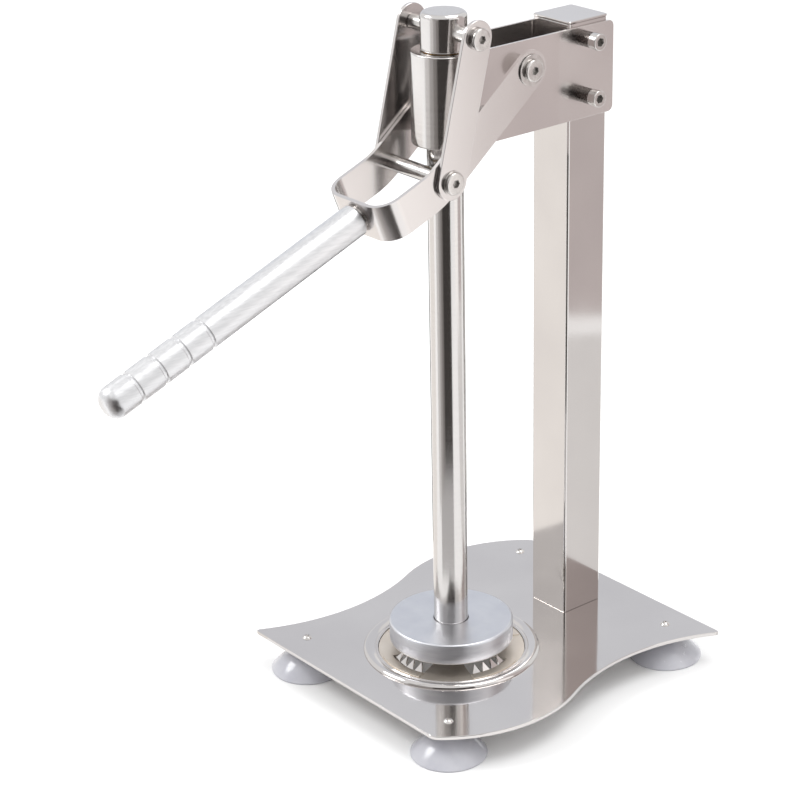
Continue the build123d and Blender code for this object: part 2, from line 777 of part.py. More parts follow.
# ---------------------------------------------------------------- the whole press
def press():
    """Every sub-part by name, about the ram axis."""
    upper_bush = plate_top + arm_top - bush_length
    nodes = {
        "base_plate": base_plate(),
        "dish_ring": dish_ring(),
        "die_plate": die_plate(),
        "tooth_ring": tooth_ring(),
        "column": column(),
        "column_foot": column_foot(),
        "column_cap": column_cap(),
        "column_screws": column_screws(),
        "arm_plate_left": arm_plate(-1),
        "arm_plate_right": arm_plate(1),
        "guide_sleeve": guide_sleeve(),
        "guide_bush_upper": guide_bush(upper_bush),
        "guide_bush_lower": guide_bush(plate_top + sleeve_bottom),
        "clamp_bolts": clamp_bolts(),
        "clamp_spacers": clamp_spacers(),
        "clamp_nuts": clamp_nuts(),
        "fulcrum_pin": fulcrum_pin(),
        "fulcrum_spacers": fulcrum_spacers(),
        "fulcrum_washers": washers(fulcrum_end(), fulcrum_washer, at_fulcrum()),
        "fulcrum_bolts": fulcrum_bolts(),
        "foot_screws": foot_screws(),
        "foot_nuts": foot_nuts(),
        "lever_fork": lever_fork(),
        "handle": handle(),
        "handle_screw": handle_screw(),
        "handle_washer": handle_washer(),
        "knee_pin": knee_pin(),
        "knee_bolts": knee_bolts(),
        "knee_washers": washers(knee_end(), knee_washer, at_knee()),
        "link_left": link(-1),
        "link_right": link(1),
        "crosshead_bolts": crosshead_bolts(),
        "crosshead_washers": washers(knee_end(), crosshead_washer, at_crosshead()),
        "ram_shaft": ram_shaft(),
        "ram_head": ram_head(),
        "crosshead_pin": crosshead_pin(),
        "presser_disc": presser_disc(),
        "presser_screw": presser_screw(),
    }
    for name, x, y in foot_places():
        nodes[f"suction_cup_{name}"] = suction_cup(x, y)
    return nodes


def footprint_middle(nodes):
    """The middle of the whole press in X and Y."""
    boxes = [shape.bounding_box() for shape in nodes.values()]
    low_x = min(box.min.X for box in boxes)
    high_x = max(box.max.X for box in boxes)
    low_y = min(box.min.Y for box in boxes)
    high_y = max(box.max.Y for box in boxes)
    return (low_x + high_x) / 2, (low_y + high_y) / 2


def export(nodes):
    """Write one file per sub-part, with the footprint's middle at the origin."""
    os.makedirs("parts", exist_ok=True)
    middle_x, middle_y = footprint_middle(nodes)
    for name, shape in nodes.items():
        export_step(Pos(-middle_x, -middle_y, 0) * shape, f"parts/{name}.step")
    print(f"{len(nodes)} sub-parts; ram axis at x {-middle_x:.3f}, y {-middle_y:.3f}")


export(press())
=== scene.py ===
# %% [markdown]
# # A bench-top lever press for fruit
# The press is cut, bent and turned from stainless steel, with a satin aluminium handle and presser.
# The measured frame is loaded first. Every later cell takes its places from that frame, so that each
# finished piece lands where the working model has it.

# %% Load the frame
import json
import math

import bmesh
import bpy
from mathutils import Matrix, Vector


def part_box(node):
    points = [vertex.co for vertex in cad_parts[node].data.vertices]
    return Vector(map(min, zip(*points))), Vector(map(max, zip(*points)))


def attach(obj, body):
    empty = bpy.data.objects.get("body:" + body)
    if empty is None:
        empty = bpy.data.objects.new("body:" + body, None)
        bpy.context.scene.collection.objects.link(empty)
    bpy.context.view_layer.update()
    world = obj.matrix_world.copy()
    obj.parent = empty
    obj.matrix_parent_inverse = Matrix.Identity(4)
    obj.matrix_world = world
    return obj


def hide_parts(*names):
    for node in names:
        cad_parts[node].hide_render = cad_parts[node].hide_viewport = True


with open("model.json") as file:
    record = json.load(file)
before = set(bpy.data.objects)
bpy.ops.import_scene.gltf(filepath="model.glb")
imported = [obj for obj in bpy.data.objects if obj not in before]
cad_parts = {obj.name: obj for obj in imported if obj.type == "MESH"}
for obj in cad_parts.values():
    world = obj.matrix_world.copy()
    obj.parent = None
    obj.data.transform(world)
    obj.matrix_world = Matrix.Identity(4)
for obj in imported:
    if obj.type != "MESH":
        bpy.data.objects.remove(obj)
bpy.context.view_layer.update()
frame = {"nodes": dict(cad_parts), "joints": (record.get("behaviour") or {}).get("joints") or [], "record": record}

# %% [markdown]
# ## Landmarks
# A maker marks out from a few centres: the ram's axis, the top of the plate and the three pivots.
# They are read from the frame, so nothing here has to be measured twice.

# %% Landmarks
MM = 0.001


def middle_of(node):
    low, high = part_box(node)
    return (low + high) / 2


def size_of(node):
    low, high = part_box(node)
    return high - low


def radius_of(node):
    """Half the width of a round piece that stands upright."""
    return size_of(node).x / 2


def pivot(joint_name):
    joint = next(j for j in frame["joints"] if j["name"] == joint_name)
    return Vector(joint["pos_m"])


ram_y = middle_of("ram_shaft").y
plate_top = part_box("base_plate")[1].z
fulcrum = pivot("lever_hinge")
knee = pivot("link_hinge")
crosshead = middle_of("crosshead_pin")
print("ram axis y", round(ram_y, 4), "plate top", round(plate_top, 4))


# %% Small helpers
def in_scene(name, data):
    """A new object, linked to the scene."""
    made = bpy.data.objects.new(name, data)
    bpy.context.scene.collection.objects.link(made)
    return made


def mesh_from(work, name):
    """The mesh of a finished bmesh, which is freed."""
    mesh = bpy.data.meshes.new(name)
    work.to_mesh(mesh)
    work.free()
    return mesh


def bend(start, corner, end, t):
    """A point on the curve that leaves start and reaches end, pulled towards corner."""
    return (1 - t) ** 2 * start + 2 * t * (1 - t) * corner + t**2 * end


# %% [markdown]
# ## Shader maths in plain expressions
# Procedural metal is mostly arithmetic on noise. A small class wraps a socket, so that masks can be
# written as expressions, and one method adds any other kind of node.


# %% A recipe for finishes
class Value:
    """A number socket that can be added, multiplied and subtracted."""

    def __init__(self, recipe, socket):
        self.recipe = recipe
        self.socket = socket

    def maths(self, operation, first, second):
        node = self.recipe.node("ShaderNodeMath", {"operation": operation}, {0: first, 1: second})
        return Value(self.recipe, node.outputs[0])

    def __add__(self, other):
        return self.maths("ADD", self, other)

    def __radd__(self, other):
        return self.maths("ADD", other, self)

    def __mul__(self, other):
        return self.maths("MULTIPLY", self, other)

    def __rmul__(self, other):
        return self.maths("MULTIPLY", other, self)

    def __sub__(self, other):
        return self.maths("SUBTRACT", self, other)

    def __rsub__(self, other):
        return self.maths("SUBTRACT", other, self)


class Recipe:
    """One material and its nodes."""

    def __init__(self, name):
        self.material = bpy.data.materials.new(name)
        self.material.use_nodes = True
        self.tree = self.material.node_tree
        self.shader = self.tree.nodes["Principled BSDF"]

    def node(self, kind, settings=None, sockets=None):
        made = self.tree.nodes.new(kind)
        for key, setting in (settings or {}).items():
            setattr(made, key, setting)
        for key, value in (sockets or {}).items():
            self.feed(made.inputs[key], value)
        return made

    def feed(self, socket, value):
        if isinstance(value, Value):
            self.tree.links.new(value.socket, socket)
        elif isinstance(value, bpy.types.NodeSocket):
            self.tree.links.new(value, socket)
        else:
            socket.default_value = value

    def places(self, stretch=(1, 1, 1), turn=(0, 0, 0)):
        """The point on the piece, in metres, stretched so that a pattern runs along an axis."""
        where = self.node("ShaderNodeTexCoord").outputs["Object"]
        sockets = {"Vector": where, "Scale": stretch, "Rotation": turn}
        return self.node("ShaderNodeMapping", None, sockets).outputs[0]

    def noise(self, scale, detail=2.0, stretch=(1, 1, 1), turn=(0, 0, 0)):
        sockets = {"Vector": self.places(stretch, turn), "Scale": scale, "Detail": detail}
        return Value(self, self.node("ShaderNodeTexNoise", None, sockets).outputs[0])

    def between(self, mask, low, high):
        """A number that goes from low to high as the mask goes from 0.3 to 0.7."""
        sockets = {"Value": mask, "From Min": 0.3, "From Max": 0.7, "To Min": low, "To Max": high}
        return Value(self, self.node("ShaderNodeMapRange", None, sockets).outputs[0])

    def colours(self, mask, first, second):
        sockets = {"Factor": mask, 6: (*first, 1), 7: (*second, 1)}
        return self.node("ShaderNodeMix", {"data_type": "RGBA"}, sockets).outputs[2]

    def bump(self, height, depth, strength=1.0):
        sockets = {"Height": height, "Distance": depth, "Strength": strength}
        self.feed(self.shader.inputs["Normal"], self.node("ShaderNodeBump", None, sockets).outputs[0])

    def set(self, **sockets):
        for name, value in sockets.items():
            self.feed(self.shader.inputs[name.replace("_", " ").title()], value)


# %% [markdown]
# ## The finishes
# Mirror-polished sheet is never perfect: it carries a faint wave from rolling, and light smears where
# hands have been. Turned bars show fine rings left by the tool. The aluminium is bead-blasted and
# anodised, so it is pale, soft and slightly streaked along its length. An image could carry such marks,
# but noise on the piece's own coordinates needs no unwrapping and stays sharp from close by.


# %% Polished sheet steel
def polished_sheet():
    recipe = Recipe("polished_sheet")
    smear = recipe.noise(9.0, 4.0)
    speck = recipe.noise(420.0, 2.0)
    wave = recipe.noise(14.0, 1.0)
    tone = recipe.colours(recipe.between(smear, 0, 1), (0.60, 0.575, 0.565), (0.665, 0.64, 0.625))
    recipe.set(base_color=tone, metallic=1.0)
    recipe.set(roughness=recipe.between(smear, 0.035, 0.10) + speck * 0.02)
    recipe.bump(wave + speck * 0.002, 0.00025)
    return recipe.material


# %% Turned steel and fasteners
def turned_steel():
    recipe = Recipe("turned_steel")
    rings = recipe.noise(60.0, 3.0, stretch=(0.3, 0.3, 42.0))
    smear = recipe.noise(16.0, 3.0)
    tone = recipe.colours(recipe.between(rings, 0, 1), (0.60, 0.58, 0.57), (0.67, 0.65, 0.635))
    recipe.set(base_color=tone, metallic=1.0)
    recipe.set(roughness=recipe.between(rings, 0.09, 0.17) + smear * 0.04)
    recipe.bump(rings, 0.000012)
    return recipe.material


def fastener_steel():
    recipe = Recipe("fastener_steel")
    grain = recipe.noise(700.0, 3.0)
    patch = recipe.noise(120.0, 2.0)
    tone = recipe.colours(recipe.between(patch, 0, 1), (0.56, 0.54, 0.525), (0.68, 0.66, 0.64))
    recipe.set(base_color=tone, metallic=1.0)
    recipe.set(roughness=recipe.between(patch, 0.13, 0.24) + grain * 0.05)
    recipe.bump(grain, 0.00002)
    return recipe.material


# %% Metals that follow one pattern
def worn_metal(name, wear, tones, gloss, depth, metallic=1.0, grain=None):
    """Tone and gloss follow one wear pattern; a finer grain roughens it, or else the wear does."""
    recipe = Recipe(name)
    pattern = recipe.noise(*wear)
    relief = recipe.noise(*grain) if grain else pattern
    tone = recipe.colours(recipe.between(pattern, 0, 1), *tones)
    recipe.set(base_color=tone, metallic=metallic, roughness=recipe.between(pattern, *gloss))
    recipe.bump(relief, depth)
    return recipe.material


# %% Satin aluminium and clear vinyl
def satin_aluminium(name, dim, bright, stretch, turn=(0, 0, 0)):
    recipe = Recipe(name)
    streak = recipe.noise(90.0, 4.0, stretch=stretch, turn=turn)
    blast = recipe.noise(2600.0, 2.0)
    tone = recipe.colours(recipe.between(streak, 0, 1), dim, bright)
    recipe.set(base_color=tone, metallic=1.0)
    recipe.set(roughness=recipe.between(streak, 0.27, 0.34) + blast * 0.04)
    recipe.bump(blast + streak * 0.3, 0.00003)
    return recipe.material


def clear_vinyl():
    recipe = Recipe("clear_vinyl")
    cloud = recipe.noise(60.0, 3.0)
    speck = recipe.noise(900.0, 2.0)
    tone = recipe.colours(recipe.between(cloud, 0, 1), (0.53, 0.53, 0.585), (0.61, 0.61, 0.655))
    recipe.set(base_color=tone, roughness=recipe.between(cloud, 0.16, 0.26) + speck * 0.03)
    recipe.set(coat_weight=0.35, coat_roughness=0.1, transmission_weight=0.18)
    recipe.shader.inputs["IOR"].default_value = 1.52
    recipe.bump(speck, 0.00002)
    return recipe.material


# %% Mix the finishes
# The brushed sheet of the arms, the die's buffed face with its painted warm reflection, the painted shade
# inside a screw's hexagon, the blackened clamp barrels and the bronze bushes differ only in their numbers.
handle_tilt = math.radians(20.9)
sheet_finish = polished_sheet()
turned_finish = turned_steel()
fastener_finish = fastener_steel()
satin_finish = worn_metal(
    "satin_sheet", (9.0, 2.0), ((0.64, 0.61, 0.60), (0.70, 0.67, 0.655)), (0.17, 0.23), 0.000002,
    grain=(1400.0, 2.0))
# The die's beige tone is a painted warm reflection; its roughness and fine grain are its own.
die_reflection_finish = worn_metal(
    "die_steel", (45.0, 4.0), ((0.64, 0.575, 0.50), (0.72, 0.66, 0.59)), (0.40, 0.48), 0.000004,
    metallic=0.9, grain=(1600.0, 2.0))
# The walls and floor of a screw's sunk hexagon: darker steel that paints the shade inside the socket.
recess_shade_finish = worn_metal(
    "recess_steel", (1500.0, 3.0), ((0.30, 0.285, 0.27), (0.50, 0.48, 0.46)), (0.3, 0.45), 0.00003,
    metallic=0.85)
dark_finish = worn_metal(
    "dark_steel", (900.0, 3.0), ((0.10, 0.085, 0.08), (0.17, 0.15, 0.14)), (0.22, 0.32), 0.00001)
bronze_finish = worn_metal(
    "bush_bronze", (80.0, 2.0, (0.4, 0.4, 30.0)), ((0.55, 0.36, 0.16), (0.68, 0.47, 0.24)), (0.25, 0.36),
    0.00002)
presser_finish = satin_aluminium("satin_presser", (0.60, 0.61, 0.65), (0.67, 0.68, 0.71), (0.6, 0.6, 6.0))
handle_finish = satin_aluminium(
    "satin_handle", (0.66, 0.66, 0.67), (0.78, 0.78, 0.79), (8.0, 0.5, 8.0), (-handle_tilt, 0, 0))
vinyl_finish = clear_vinyl()
print("finishes", [m.name for m in bpy.data.materials])

# %% [markdown]
# ## Turned pieces
# Anything made on a lathe is a profile of radius and height, spun about its axis. Corners are broken
# by a small arc in the profile, because a real corner is never knife sharp and it is the arc that
# catches the light. The rings are joined face by face, so that an end on the axis closes in one point.

# %% Turning
TURNS = 128
ON_AXIS = 1e-7


def soften(corners, radius, steps=5):
    """Round the corners of an open (radius, height) profile; its two ends stay."""
    points = [corners[0]]
    for before, corner, after in zip(corners, corners[1:], corners[2:]):
        corner = Vector(corner)
        back = Vector(before) - corner
        ahead = Vector(after) - corner
        cut = min(radius, 0.45 * back.length, 0.45 * ahead.length)
        start = corner + back.normalized() * cut
        end = corner + ahead.normalized() * cut
        for step in range(steps + 1):
            points.append(tuple(bend(start, corner, end, step / steps)))
    return points + [corners[-1]]


def finish_mesh(name, mesh, material, angle=25.0):
    """A mesh with smooth curves, crisp corners and flat faces that stay flat. None keeps its finishes."""
    if material:
        mesh.materials.clear()
        mesh.materials.append(material)
    mesh.shade_smooth()
    mesh.set_sharp_from_angle(angle=math.radians(angle))
    piece = in_scene(name, mesh)
    flat = piece.modifiers.new("flat faces", "WEIGHTED_NORMAL")
    flat.keep_sharp = True
    return piece


def at_angle(radius, angle, height=0.0):
    return radius * math.cos(angle), radius * math.sin(angle), height


def turn_mesh(profile, place=Matrix(), turns=TURNS):
    """Spin a (radius, height) profile about its own Z axis, then set it at a place."""
    work = bmesh.new()
    rings = []
    angles = [2 * math.pi * i / turns for i in range(turns)]
    for radius, height in profile:
        if radius < ON_AXIS:
            rings.append([work.verts.new((0, 0, height))])
        else:
            rings.append([work.verts.new(at_angle(radius, a, height)) for a in angles])
    for lower, upper in zip(rings, rings[1:]):
        for i in range(turns):
            j = (i + 1) % turns
            pairs = [(lower, i), (lower, j), (upper, j), (upper, i)]
            corners = [ring[k % len(ring)] for ring, k in pairs]
            work.faces.new(list(dict.fromkeys(corners)))
    bmesh.ops.recalc_face_normals(work, faces=work.faces)
    mesh = mesh_from(work, "turned")
    mesh.transform(place)
    return mesh


def turned(name, profile, material, place=Matrix(), turns=TURNS):
    return finish_mesh(name, turn_mesh(profile, place, turns), material)


def upright(x, y, z=0.0):
    return Matrix.Translation((x, y, z))


# %% [markdown]
# ## Sheet pieces
# Plates are laser cut and their edges are eased with a file. A flat curve with holes can be given a
# thickness and a small rounded edge in one go, which keeps the big faces perfectly flat.

# %% Outlines
EDGE = 0.0005


def arc_points(centre, radius, start, end, steps=40):
    angles = [math.radians(start + (end - start) * i / steps) for i in range(steps + 1)]
    return [(centre[0] + radius * math.cos(a), centre[1] + radius * math.sin(a)) for a in angles]


def round_hole(centre, radius):
    return arc_points(centre, radius, 0, 360, 48)[:-1]


def rounded_box(low, high, radius):
    """A rectangle with round corners, anticlockwise."""
    points = []
    corners = [(high[0], high[1], 0), (low[0], high[1], 90), (low[0], low[1], 180), (high[0], low[1], 270)]
    for x, y, start in corners:
        inset_x = -radius if x == high[0] else radius
        inset_y = -radius if y == high[1] else radius
        points += arc_points((x + inset_x, y + inset_y), radius, start, start + 90, 8)
    return points


# %% Cutting sheet
def sheet_mesh(outlines, thickness, place, edge=EDGE):
    """Flat outlines, the first one outermost, given a thickness about their own plane."""
    curve = bpy.data.curves.new("cut", "CURVE")
    curve.dimensions = "2D"
    curve.fill_mode = "BOTH"
    curve.extrude = thickness / 2 - edge
    curve.bevel_depth = edge
    curve.bevel_resolution = 2
    curve.offset = -edge
    for outline in outlines:
        spline = curve.splines.new("POLY")
        spline.points.add(len(outline) - 1)
        for point, (x, y) in zip(spline.points, outline):
            point.co = (x, y, 0, 1)
        spline.use_cyclic_u = True
    cutter = in_scene("cut", curve)
    bpy.context.view_layer.update()
    mesh = bpy.data.meshes.new_from_object(cutter.evaluated_get(bpy.context.evaluated_depsgraph_get()))
    bpy.data.objects.remove(cutter)
    bpy.data.curves.remove(curve)
    weld(mesh)
    mesh.transform(place)
    return mesh


def weld(mesh, gap=1e-6):
    work = bmesh.new()
    work.from_mesh(mesh)
    bmesh.ops.remove_doubles(work, verts=work.verts, dist=gap)
    bmesh.ops.recalc_face_normals(work, faces=work.faces)
    work.to_mesh(mesh)
    work.free()


def joined_mesh(meshes):
    """Several meshes as one."""
    work = bmesh.new()
    for mesh in meshes:
        work.from_mesh(mesh)
    return mesh_from(work, "joined")


def cut_sheet(name, outlines, thickness, material, place, edge=EDGE):
    return finish_mesh(name, sheet_mesh(outlines, thickness, place, edge), material, 14.0)


def on_side(x):
    """The plane of an upright plate: its own x is Y, its own y is Z, and its middle is at x."""
    return Matrix(((0, 0, 1, x), (1, 0, 0, 0), (0, 1, 0, 0), (0, 0, 0, 1)))


# %% Handing a piece over
def settle(piece, body, slot, *nodes):
    """Hand a finished piece over: it rides on its body and stands for its nodes."""
    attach(piece, body)
    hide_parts(*nodes)
    print(piece.name, "rides on", body, "faces", len(piece.data.polygons))


# %% [markdown]
# ## The base plate
# One 3 mm plate with a wavy outline: a bulge behind and a waist in front on the left, and the same
# turned half round on the right. It is drawn from four arcs, so the waves stay smooth at any size.

# %% Base plate
plate_low, plate_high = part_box("base_plate")
plate_middle = (plate_low + plate_high) / 2
half_length = (plate_high.y - plate_low.y) / 2
bulge_radius = 0.115
bulge = Vector((-0.0163, 0.06185))
waist_radius = 0.173
waist_drop = -0.05615
waist_across = math.sqrt((bulge_radius + waist_radius) ** 2 - (bulge.y - waist_drop) ** 2)
waist = Vector((bulge.x - waist_across, waist_drop))
plate_corner = 0.005


def rounded_corner(before, corner, after, radius, steps=8):
    """A short curve in place of a sharp corner."""
    start = corner + (before - corner).normalized() * radius
    end = corner + (after - corner).normalized() * radius
    return [tuple(bend(start, corner, end, step / steps)) for step in range(steps + 1)]


def plate_outline():
    rear = half_length - bulge.y
    start = 180 - math.degrees(math.asin(rear / bulge_radius))
    tangent = math.degrees(math.atan2(bulge.y - waist.y, bulge.x - waist.x))
    drop = math.degrees(math.asin((half_length + waist.y) / waist_radius))
    side = arc_points(bulge, bulge_radius, start, 180 + tangent, 60)
    side += arc_points(waist, waist_radius, tangent, -drop, 60)[1:]
    keep = [p for p in side if (Vector(p) - Vector(side[0])).length > plate_corner
            and (Vector(p) - Vector(side[-1])).length > plate_corner]
    opposite = [-Vector(p) for p in (side[-1], side[0])]
    first = rounded_corner(opposite[0], Vector(side[0]), Vector(keep[0]), plate_corner)
    last = rounded_corner(Vector(keep[-1]), Vector(side[-1]), opposite[1], plate_corner)
    left = first + keep + last
    whole = left + [(-x, -y) for x, y in left]
    return [(x + plate_middle.x, y + plate_middle.y) for x, y in whole]


opening_radius = 0.062
foot_hole_radius = 0.00305
foot_names = ("front_left", "front_right", "rear_left", "rear_right")
foot_places = [middle_of(f"suction_cup_{name}") for name in foot_names]
outlines = [plate_outline(), round_hole((0, ram_y), opening_radius)]
outlines += [round_hole(place.xy, foot_hole_radius) for place in foot_places]
plate_thickness = size_of("base_plate").z
plate_place = Matrix.Translation((0, 0, plate_middle.z))
base = cut_sheet("base_plate_sheet", outlines, plate_thickness, sheet_finish, plate_place)
settle(base, "frame", "polished_stainless", "base_plate")

# %% [markdown]
# ## The dish and the die
# A spun ring lines the opening: a rolled bead outside, a shallow slope inwards and two fine steps at
# the seat. The die drops into it. Its four windows have a row of pointed teeth under each outer edge.

# %% Spun ring
ring_outer = radius_of("dish_ring")
ring_turns = 288
# Each corner is given in millimetres, inwards from the rim and up from the plate.
ring_profile_mm = [
    (-9.6, -5), (-9.6, 0), (0, 0), (0, 0.5), (-0.5, 1.5), (-1.8, 2.6), (-3.6, 3.0),
    (-5.6, 2.6), (-7.6, 1.7), (-9.0, 1.0), (-9.3, 1.3), (-9.9, 1.3), (-10.2, 0.7), (-11.0, 0.5),
    (-11.3, 0.8), (-11.9, 0.6), (-12, -3.5), (-21.5, -3.5), (-21.5, -5), (-9.6, -5),
]
ring_profile = soften([(ring_outer + r * MM, z * MM) for r, z in ring_profile_mm], 0.0009, 3)
ring = turned("dish_ring_spun", ring_profile, sheet_finish, upright(0, ram_y, plate_top), ring_turns)
settle(ring, "frame", "polished_stainless", "dish_ring")

# %% Die plate
die_thickness = 0.002
window_span = 46.0
window_inner, window_outer = 0.020, 0.0495
land_inner, land_outer, land_height = 0.0505, 0.058, 0.0008
land_sunk = 0.0008
die_edge = 0.0003
window_directions = (0, 90, 180, 270)


def sector_outline(inner, outer, span, direction):
    far = arc_points((0, 0), outer, direction - span / 2, direction + span / 2, 24)
    near = arc_points((0, 0), inner, direction + span / 2, direction - span / 2, 16)
    return far + near


die_radius = radius_of("die_plate")
windows = [sector_outline(window_inner, window_outer, window_span, d) for d in window_directions]
die_place = upright(0, ram_y, plate_top - die_thickness / 2)
die_meshes = [sheet_mesh([round_hole((0, 0), die_radius)] + windows, die_thickness, die_place, die_edge)]
land_place = upright(0, ram_y, plate_top + land_height / 2 - land_sunk / 2)
for direction in window_directions:
    land = [sector_outline(land_inner, land_outer, window_span, direction)]
    die_meshes.append(sheet_mesh(land, land_height + land_sunk, land_place, die_edge))
# The die carries the painted beige reflection.
die = finish_mesh("die_plate_cut", joined_mesh(die_meshes), die_reflection_finish, 14.0)
settle(die, "frame", "polished_stainless", "die_plate")

# %% [markdown]
# ## Teeth by rule
# Sixteen teeth repeat at a fixed angle, four to a window. Each could be placed by hand, but one tooth
# and a node tree that copies it onto points keep them alike, and their number and pitch stay two values.


# %% One tooth
def tooth_mesh(width, length, thickness, lean):
    """A flat pointed tooth that stands on its base and leans towards -X."""
    root, half_tip, eased_by = -0.0015, 0.0003, 0.00015
    outline = [(-width / 2, root), (width / 2, root), (width / 2, 0), (half_tip, length),
               (-half_tip, length), (-width / 2, 0)]
    work = bmesh.new()
    front = [work.verts.new((-thickness / 2, y, z)) for y, z in outline]
    back = [work.verts.new((thickness / 2, y, z)) for y, z in outline]
    work.faces.new(front)
    work.faces.new(back[::-1])
    for i in range(len(outline)):
        j = (i + 1) % len(outline)
        work.faces.new((front[j], front[i], back[i], back[j]))
    bmesh.ops.recalc_face_normals(work, faces=work.faces)
    bmesh.ops.bevel(work, geom=work.edges[:], offset=eased_by, segments=1, affect="EDGES")
    mesh = mesh_from(work, "tooth")
    mesh.transform(Matrix.Rotation(-math.radians(lean), 4, "Y"))
    return mesh


# %% Building a node tree
def tree_with_inputs(name, inputs):
    """An empty geometry tree with named inputs; returns it with its two end nodes."""
    tree = bpy.data.node_groups.new(name, "GeometryNodeTree")
    tree.interface.new_socket("Geometry", in_out="INPUT", socket_type="NodeSocketGeometry")
    for label, kind in inputs:
        tree.interface.new_socket(label, in_out="INPUT", socket_type=kind)
    tree.interface.new_socket("Geometry", in_out="OUTPUT", socket_type="NodeSocketGeometry")
    return tree, tree.nodes.new("NodeGroupInput"), tree.nodes.new("NodeGroupOutput")


def add_node(tree, kind, settings=None, sockets=None):
    made = tree.nodes.new(kind)
    for key, setting in (settings or {}).items():
        setattr(made, key, setting)
    for key, value in (sockets or {}).items():
        if isinstance(value, bpy.types.NodeSocket):
            tree.links.new(value, made.inputs[key])
        else:
            made.inputs[key].default_value = value
    return made


# %% Running a tree
def grow(points, tree, values, name, angle=25.0):
    """Run a tree on some points and keep the result as a plain mesh."""
    holder = in_scene("holder", points)
    modifier = holder.modifiers.new("rule", "NODES")
    modifier.node_group = tree
    for item in tree.interface.items_tree:
        if item.in_out == "INPUT" and item.name in values:
            modifier[item.identifier] = values[item.name]
    bpy.context.view_layer.update()
    evaluated = holder.evaluated_get(bpy.context.evaluated_depsgraph_get())
    mesh = bpy.data.meshes.new_from_object(evaluated)
    holder.modifiers.remove(modifier)
    bpy.data.objects.remove(holder)
    worn = [mesh.materials[face.material_index] for face in mesh.polygons]
    finishes = sorted(set(worn), key=lambda finish: finish.name)
    mesh.materials.clear()
    for finish in finishes:
        mesh.materials.append(finish)
    for face, finish in zip(mesh.polygons, worn):
        face.material_index = finishes.index(finish)
    return finish_mesh(name, mesh, None, angle)


# %% The pattern tree
def pattern_tree():
    """Copies one shape onto every point, faced along the point's own direction."""
    inputs = [("Shape", "NodeSocketObject"), ("Size", "NodeSocketFloat"), ("Finish", "NodeSocketMaterial"),
              ("Recess finish", "NodeSocketMaterial")]
    tree, start, end = tree_with_inputs("pattern on points", inputs)

    def attribute(kind, name):
        settings = {"data_type": kind}
        return add_node(tree, "GeometryNodeInputNamedAttribute", settings, {"Name": name}).outputs[0]

    facing = {"Vector": attribute("FLOAT_VECTOR", "facing")}
    aimed = add_node(tree, "FunctionNodeAlignRotationToVector", {"axis": "Z"}, facing)
    about_z = {"Axis": (0, 0, 1), "Angle": attribute("FLOAT", "roll")}
    spun = add_node(tree, "FunctionNodeAxisAngleToRotation", None, about_z)
    turn = add_node(tree, "FunctionNodeRotateRotation", {"rotation_space": "LOCAL"},
                    {"Rotation": aimed.outputs[0], "Rotate By": spun.outputs[0]})
    shape = add_node(tree, "GeometryNodeObjectInfo", None, {"Object": start.outputs["Shape"]})
    copies = add_node(tree, "GeometryNodeInstanceOnPoints", None, {
        "Points": start.outputs["Geometry"], "Instance": shape.outputs["Geometry"],
        "Rotation": turn.outputs[0], "Scale": start.outputs["Size"]})
    real = add_node(tree, "GeometryNodeRealizeInstances", None, {0: copies.outputs[0]})
    painted = add_node(tree, "GeometryNodeSetMaterial", None,
                       {"Geometry": real.outputs[0], "Material": start.outputs["Finish"]})
    # Faces marked as recess get the darker finish, painted shade inside the socket.
    lined = add_node(tree, "GeometryNodeSetMaterial", None, {
        "Geometry": painted.outputs[0], "Selection": attribute("BOOLEAN", "recess"),
        "Material": start.outputs["Recess finish"]})
    tree.links.new(lined.outputs[0], end.inputs[0])
    return tree


on_points = pattern_tree()


# %% Setting the copies
def marked_points(places):
    """Points with a facing direction and a roll about it: (place, direction, roll in degrees)."""
    mesh = bpy.data.meshes.new("places")
    mesh.from_pydata([tuple(p) for p, _, _ in places], [], [])
    mesh.attributes.new("facing", "FLOAT_VECTOR", "POINT")
    mesh.attributes.new("roll", "FLOAT", "POINT")
    for i, (_, direction, angle) in enumerate(places):
        mesh.attributes["facing"].data[i].vector = direction
        mesh.attributes["roll"].data[i].value = math.radians(angle)
    return mesh


def repeated(name, shape_mesh, places, finish, angle=25.0):
    """One piece made of copies of a shape, set by the tree."""
    shape = in_scene("shape", shape_mesh)
    values = {"Shape": shape, "Size": 1.0, "Finish": finish, "Recess finish": recess_shade_finish}
    piece = grow(marked_points(places), on_points, values, name, angle)
    bpy.data.objects.remove(shape)
    return piece


# %% Teeth and their strip
teeth_per_window = 4
tooth_pitch = 10.5
tooth_root = 0.0485
tooth_width = 0.0084
tooth_length = 0.009
tooth_lean = 40.0
crisp = 20.0
strip_thickness = 0.0015
strip_inner = 0.047
strip_edge = 0.0002
strip_z = plate_top - die_thickness - strip_thickness / 2
tooth_places = []
for direction in window_directions:
    for index in range(teeth_per_window):
        angle = direction + (index - (teeth_per_window - 1) / 2) * tooth_pitch
        out = Vector(at_angle(1.0, math.radians(angle)))
        tooth_places.append((out * tooth_root + Vector((0, ram_y, strip_z)), (0, 0, 1), angle))
tooth = tooth_mesh(tooth_width, tooth_length, strip_thickness, tooth_lean)
teeth = repeated("teeth", tooth, tooth_places, sheet_finish, crisp)
strip_outline = [round_hole((0, 0), die_radius), round_hole((0, 0), strip_inner)]
strip_place = upright(0, ram_y, strip_z)
strip_mesh = sheet_mesh(strip_outline, strip_thickness, strip_place, strip_edge)
strip = finish_mesh("strip", strip_mesh, sheet_finish)
tooth_ring = finish_mesh("tooth_ring_cut", joined_mesh([teeth.data, strip.data]), sheet_finish, crisp)
for part in (teeth, strip):
    bpy.data.objects.remove(part)
settle(tooth_ring, "frame", "polished_stainless", "tooth_ring")

# %% [markdown]
# ## The column and its arms
# The column is a square tube with soft corners, closed by a thin cap with a rounded edge. Two flat
# arms are clamped to it and reach forward to the guide's sleeve. Cut sheet makes them all: the tube is
# an outline with a hole, and its length is the thickness.

